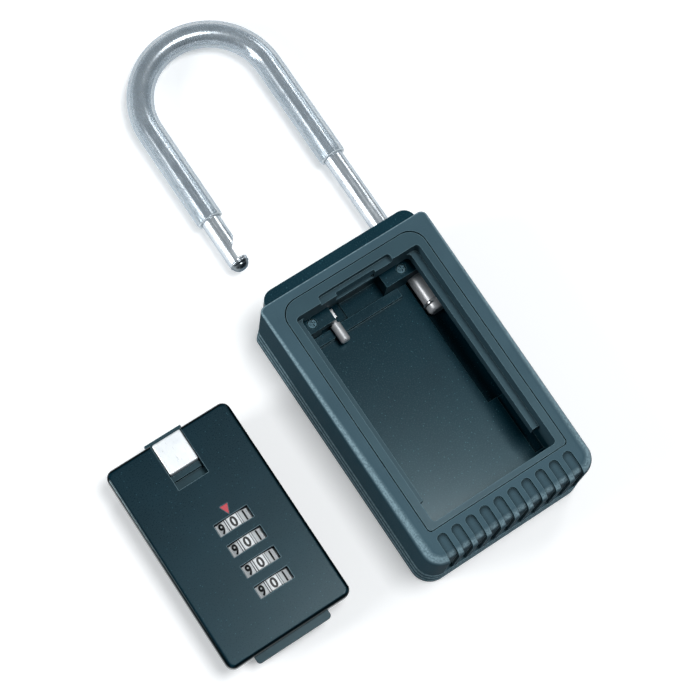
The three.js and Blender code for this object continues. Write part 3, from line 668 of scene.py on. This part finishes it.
def shackle_tube():
    """The clear tube round the bar, open at both ends, with its cut ends in their own finish."""
    stations = hairpin(SLEEVE_LONG_Y, SLEEVE_SHORT_Y)
    up = Vector((0, 1, 0))
    outer = [ring_at(centre, out, TUBE_R) for centre, out in stations[1:-1]]
    inner = [ring_at(centre, out, BAR_R + TUBE_GAP) for centre, out in reversed(stations)]
    start, stop = ([ring_at(centre + up * LIP * rise, out, TUBE_R - LIP * cut) for rise, cut in LIP_ROUND]
                   for centre, out in (stations[0], stations[-1]))
    stop.reverse()
    bm = bmesh.new()
    bridge(bm, start + outer + stop + inner, closed=True)
    bm.faces.ensure_lookup_table()
    stop_row, bore_row = len(start + outer), len(start + outer + stop)
    last_row = bore_row + len(inner) - 1
    for index, face in enumerate(bm.faces):
        row = index // SIDES
        if row in (0, 1, last_row) or stop_row < row < bore_row:
            face.material_index = 1
    tube = object_of("shackle_vinyl", bm, vinyl_finish, vinyl_end_finish)
    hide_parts("shackle_sleeve")
    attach(tube, "shackle")


# ---- latch spring --------------------------------------------------------------------------
SPRING_WIRE = 0.25 * MM
SPRING_TURNS = 6
SPRING_STEPS = 24
SPRING_SIDES = 10


def latch_coil():
    """The latch spring as a coil of wire, wound between the lower and upper ends of the CAD spring's box."""
    low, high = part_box("latch_spring")
    axis = (low + high) / 2
    radius = (high.x - low.x) / 2 - SPRING_WIRE
    foot, head = low.y + SPRING_WIRE, high.y - SPRING_WIRE
    rise = (head - foot) / (SPRING_TURNS * 2 * math.pi)
    rings = []
    for k in range(SPRING_TURNS * SPRING_STEPS + 1):
        angle = 2 * math.pi * k / SPRING_STEPS
        out = Vector((math.sin(angle), 0, math.cos(angle)))
        along = Vector((radius * math.cos(angle), rise, -radius * math.sin(angle))).normalized()
        centre = Vector((axis.x, foot + rise * angle, axis.z)) + radius * out
        rings.append(ring_at(centre, out, SPRING_WIRE, along.cross(out), SPRING_SIDES))
    bm = bmesh.new()
    bridge(bm, rings)
    coil = object_of("latch_coil", bm, steel_finish)
    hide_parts("latch_spring")
    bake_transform(coil)


# ---- number wheels -------------------------------------------------------------------------
DIGITS = 10
DIGIT_TURN = 360 / DIGITS
FACE_HALF = 12.2
FACE_DROP = 0.3 * MM
DARK_DROP = 0.45
# Degrees from the middle of a digit, and how far below the rim in millimetres.
RIDGES = ((12.6, 0), (13.6, 0), (14.0, DARK_DROP), (16.3, DARK_DROP), (16.8, 0.05), (18.0, 0.05))
WHEEL_BORE = 5.3 * MM
WHEEL_EDGE = 0.2 * MM
WHEEL_EDGE_CUT = 0.25 * MM


def wheel_outline(radius):
    """Angle, radius and whether the stretch that follows is dark, round one wheel."""
    points = []
    for digit in range(DIGITS):
        middle = DIGIT_TURN * digit
        points += [(middle - angle, radius - drop * MM, drop == DARK_DROP)
                   for angle, drop in reversed(RIDGES)]
        points += [(middle + side * FACE_HALF, radius - FACE_DROP, False) for side in (-1, 1)]
        points += [(middle + angle, radius - drop * MM, drop == DARK_DROP) for angle, drop in RIDGES[:-1]]
    return points


def number_wheel(number):
    """One wheel with its dark ridge bands; returns its centre and how far out the digit faces lie."""
    low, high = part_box(f"dial_wheel_{number}")
    centre = (low + high) / 2
    radius, half = (high.z - low.z) / 2, (high.y - low.y) / 2
    bm = bmesh.new()
    outline = wheel_outline(radius)

    def row(y, radii):
        angles = [math.radians(angle) for angle, _, _ in outline]
        return [(centre.x + r * math.sin(a), centre.y + y, centre.z + r * math.cos(a))
                for a, r in zip(angles, radii)]

    rims = ((-half, WHEEL_EDGE_CUT), (WHEEL_EDGE - half, 0), (half - WHEEL_EDGE, 0), (half, WHEEL_EDGE_CUT))
    rows = [row(y, [r - cut for _, r, _ in outline]) for y, cut in rims]
    rows += [row(y, [WHEEL_BORE] * len(outline)) for y in (half, -half)]
    bridge(bm, rows, closed=True)
    bm.faces.ensure_lookup_table()
    count = len(outline)
    for index in range(count * 3):
        if outline[index % count][2] and outline[(index + 1) % count][2]:
            bm.faces[index].material_index = 1
    wheel = object_of(f"number_wheel_{number}", bm, wheel_finish, digit_finish)
    soften(wheel, 0.06 * MM, 1, 25)
    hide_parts(f"dial_wheel_{number}")
    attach(wheel, f"dial_{number}")
    return centre, (radius - FACE_DROP) * math.cos(math.radians(FACE_HALF))


DIGIT_SIZE = 5.5 * MM
DIGIT_NARROW = 0.92
STROKE_GROW = 0.19 * MM
PRINT_HALF = 0.02 * MM
PRINT_LIFT = 0.015 * MM


def wheel_digits(number, centre, flat):
    """The ten printed digits of one wheel, upright along the lid."""
    bm = bmesh.new()
    for digit in range(DIGITS):
        text = bpy.data.curves.new("digit", "FONT")
        text.body = str(digit)
        text.size = DIGIT_SIZE
        text.offset = STROKE_GROW
        text.extrude = PRINT_HALF
        text.align_x = "CENTER"
        text.align_y = "CENTER"
        text.resolution_u = 4
        holder = bpy.data.objects.new("digit", text)
        bpy.context.scene.collection.objects.link(holder)
        bpy.context.view_layer.update()
        graph = bpy.context.evaluated_depsgraph_get()
        mesh = bpy.data.meshes.new_from_object(holder.evaluated_get(graph))
        bpy.data.objects.remove(holder)
        points = [vertex.co for vertex in mesh.vertices]
        middle_x = (min(p.x for p in points) + max(p.x for p in points)) / 2
        middle_y = (min(p.y for p in points) + max(p.y for p in points)) / 2
        angle = math.radians(DIGIT_TURN * digit)
        radial = Vector((math.sin(angle), 0, math.cos(angle)))
        across = Vector((math.cos(angle), 0, -math.sin(angle)))
        turn = Matrix((across, Vector((0, 1, 0)), radial)).transposed().to_4x4()
        place = Matrix.Translation(centre + radial * (flat + PRINT_LIFT)) @ turn
        centred = Matrix.Diagonal((DIGIT_NARROW, 1, 1, 1)) @ Matrix.Translation((-middle_x, -middle_y, 0))
        mesh.transform(place @ centred)
        bm.from_mesh(mesh)
        bpy.data.meshes.remove(mesh)
    digits = object_of(f"wheel_digits_{number}", bm, digit_finish)
    for face in digits.data.polygons:
        face.use_smooth = False
    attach(digits, f"dial_{number}")


# ---- carried-over nodes --------------------------------------------------------------------
def finishes():
    """Every CAD node that stays, with its finish and the width of its rounded edges."""
    keep("case_shell", shell_finish, 0.3 * MM, 3)
    keep("front_frame", frame_finish, 0.28 * MM, 3)
    keep("back_plate", inner_finish, 0.25 * MM)
    for side in ("left", "right"):
        keep(f"shackle_block_{side}", shell_finish, 0.3 * MM, 3)
        keep(f"block_screw_{side}", dark_screw_finish, 0.1 * MM)
    keep("shackle_retaining_ring", steel_finish, 0.1 * MM)
    keep("lock_bolt", steel_finish, 0.2 * MM)
    keep("release_pin", pin_finish, 0.2 * MM, 3)
    keep("lid_shell", lid_finish, 0.15 * MM, merge=False)
    keep("lid_back_cover", inner_finish)
    keep("hook_plate", inner_finish, 0.4 * MM, 3)
    keep("latch_plate", inner_finish, 0.3 * MM, 3)
    keep("release_button", button_finish, 0.3 * MM, 3)
    keep("index_mark", red_finish, 0.05 * MM)
    keep("detent_spring", brass_finish, 0.05 * MM)
    keep("detent_ball", steel_finish, 0.01 * MM)
    keep("dial_spindle", steel_finish, 0.1 * MM)
    keep("button_screw", screw_finish, 0.08 * MM)
    for number in range(1, 5):
        keep(f"back_screw_{number}", screw_finish, 0.08 * MM)
        keep(f"cover_screw_{number}", screw_finish, 0.08 * MM)
        keep(f"code_hub_{number}", brass_finish, 0.1 * MM)
    for number in (1, 2):
        keep(f"hook_screw_{number}", screw_finish, 0.08 * MM)
        keep(f"spindle_clip_{number}", steel_finish, 0.05 * MM)


# ---- floor, light and camera ---------------------------------------------------------------
def floor():
    """White paper that glows a little, so that it stays even in every view."""
    bm = bmesh.new()
    bmesh.ops.create_grid(bm, x_segments=2, y_segments=2, size=6)
    paper = Finish("floor_paper").set(Specular_IOR_Level=0.1)
    cloud = paper.noise(0.4, 2)
    paper.color(paper.ramp(cloud, (0.3, (0.90, 0.91, 0.92, 1)), (0.7, (0.92, 0.93, 0.94, 1))))
    paper.rough(paper.spread(cloud, 0.85, 0.95))
    paper.set(Emission_Color=(1, 1, 1, 1), Emission_Strength=0.27)
    ground = object_of("floor", bm, paper.material)
    ground.location.z = -0.05 * MM


def area_light(name, place, target, size, power):
    data = bpy.data.lights.new(name, "AREA")
    data.shape = "DISK"
    data.size = size
    data.energy = power
    lamp = bpy.data.objects.new(name, data)
    lamp.location = place
    lamp.rotation_euler = (Vector(target) - Vector(place)).to_track_quat("-Z", "Y").to_euler()
    bpy.context.scene.collection.objects.link(lamp)


def studio():
    """A dim sky and four soft lamps, the strongest one overhead."""
    world = bpy.data.worlds.new("studio")
    world.use_nodes = True
    sky = world.node_tree.nodes["Background"]
    sky.inputs["Color"].default_value = (0.80, 0.93, 1.0, 1)
    sky.inputs["Strength"].default_value = 0.16
    bpy.context.scene.world = world
    area_light("overhead_box", (0.14, -0.12, 1.15), (-0.02, 0.0, 0), 0.42, 8)
    area_light("left_box", (-0.85, 0.25, 0.62), (-0.03, 0.03, 0), 0.35, 3)
    area_light("left_strip", (-1.0, 0.22, 0.22), (-0.03, 0.02, 0.03), 0.15, 2.6)
    area_light("right_box", (0.9, 0.55, 0.6), (0, 0.05, 0), 0.4, 2.5)
    bpy.context.scene.view_settings.view_transform = "Standard"


TILT_X = -0.21754
TILT_Y = -0.19517
ROLL = -0.59846
DISTANCE = 0.78384
LENS = 104.57
AIM = Vector((-0.00904, 0.03300, 0))


def camera():
    """The photograph's view: tilts as slopes of the line of sight, roll in radians, aimed at the paper."""
    back = Vector((math.sin(TILT_X), math.sin(TILT_Y), 1)).normalized()
    level = (-back).cross(Vector((0, 1, 0))).normalized()
    upright = level.cross(-back)
    right = math.cos(ROLL) * level + math.sin(ROLL) * upright
    up = math.cos(ROLL) * upright - math.sin(ROLL) * level
    data = bpy.data.cameras.new("camera")
    data.lens = LENS
    data.sensor_width = 36
    data.clip_end = 20
    made = bpy.data.objects.new("camera", data)
    turn = Matrix((right, up, back)).transposed().to_4x4()
    made.matrix_world = Matrix.Translation(AIM + back * DISTANCE) @ turn
    bpy.context.scene.collection.objects.link(made)
    bpy.context.scene.camera = made


camera()
studio()
floor()
finishes()
jacket()
shackle_bar()
shackle_tube()
latch_coil()
for wheel in range(1, 5):
    hub, flat_radius = number_wheel(wheel)
    wheel_digits(wheel, hub, flat_radius)
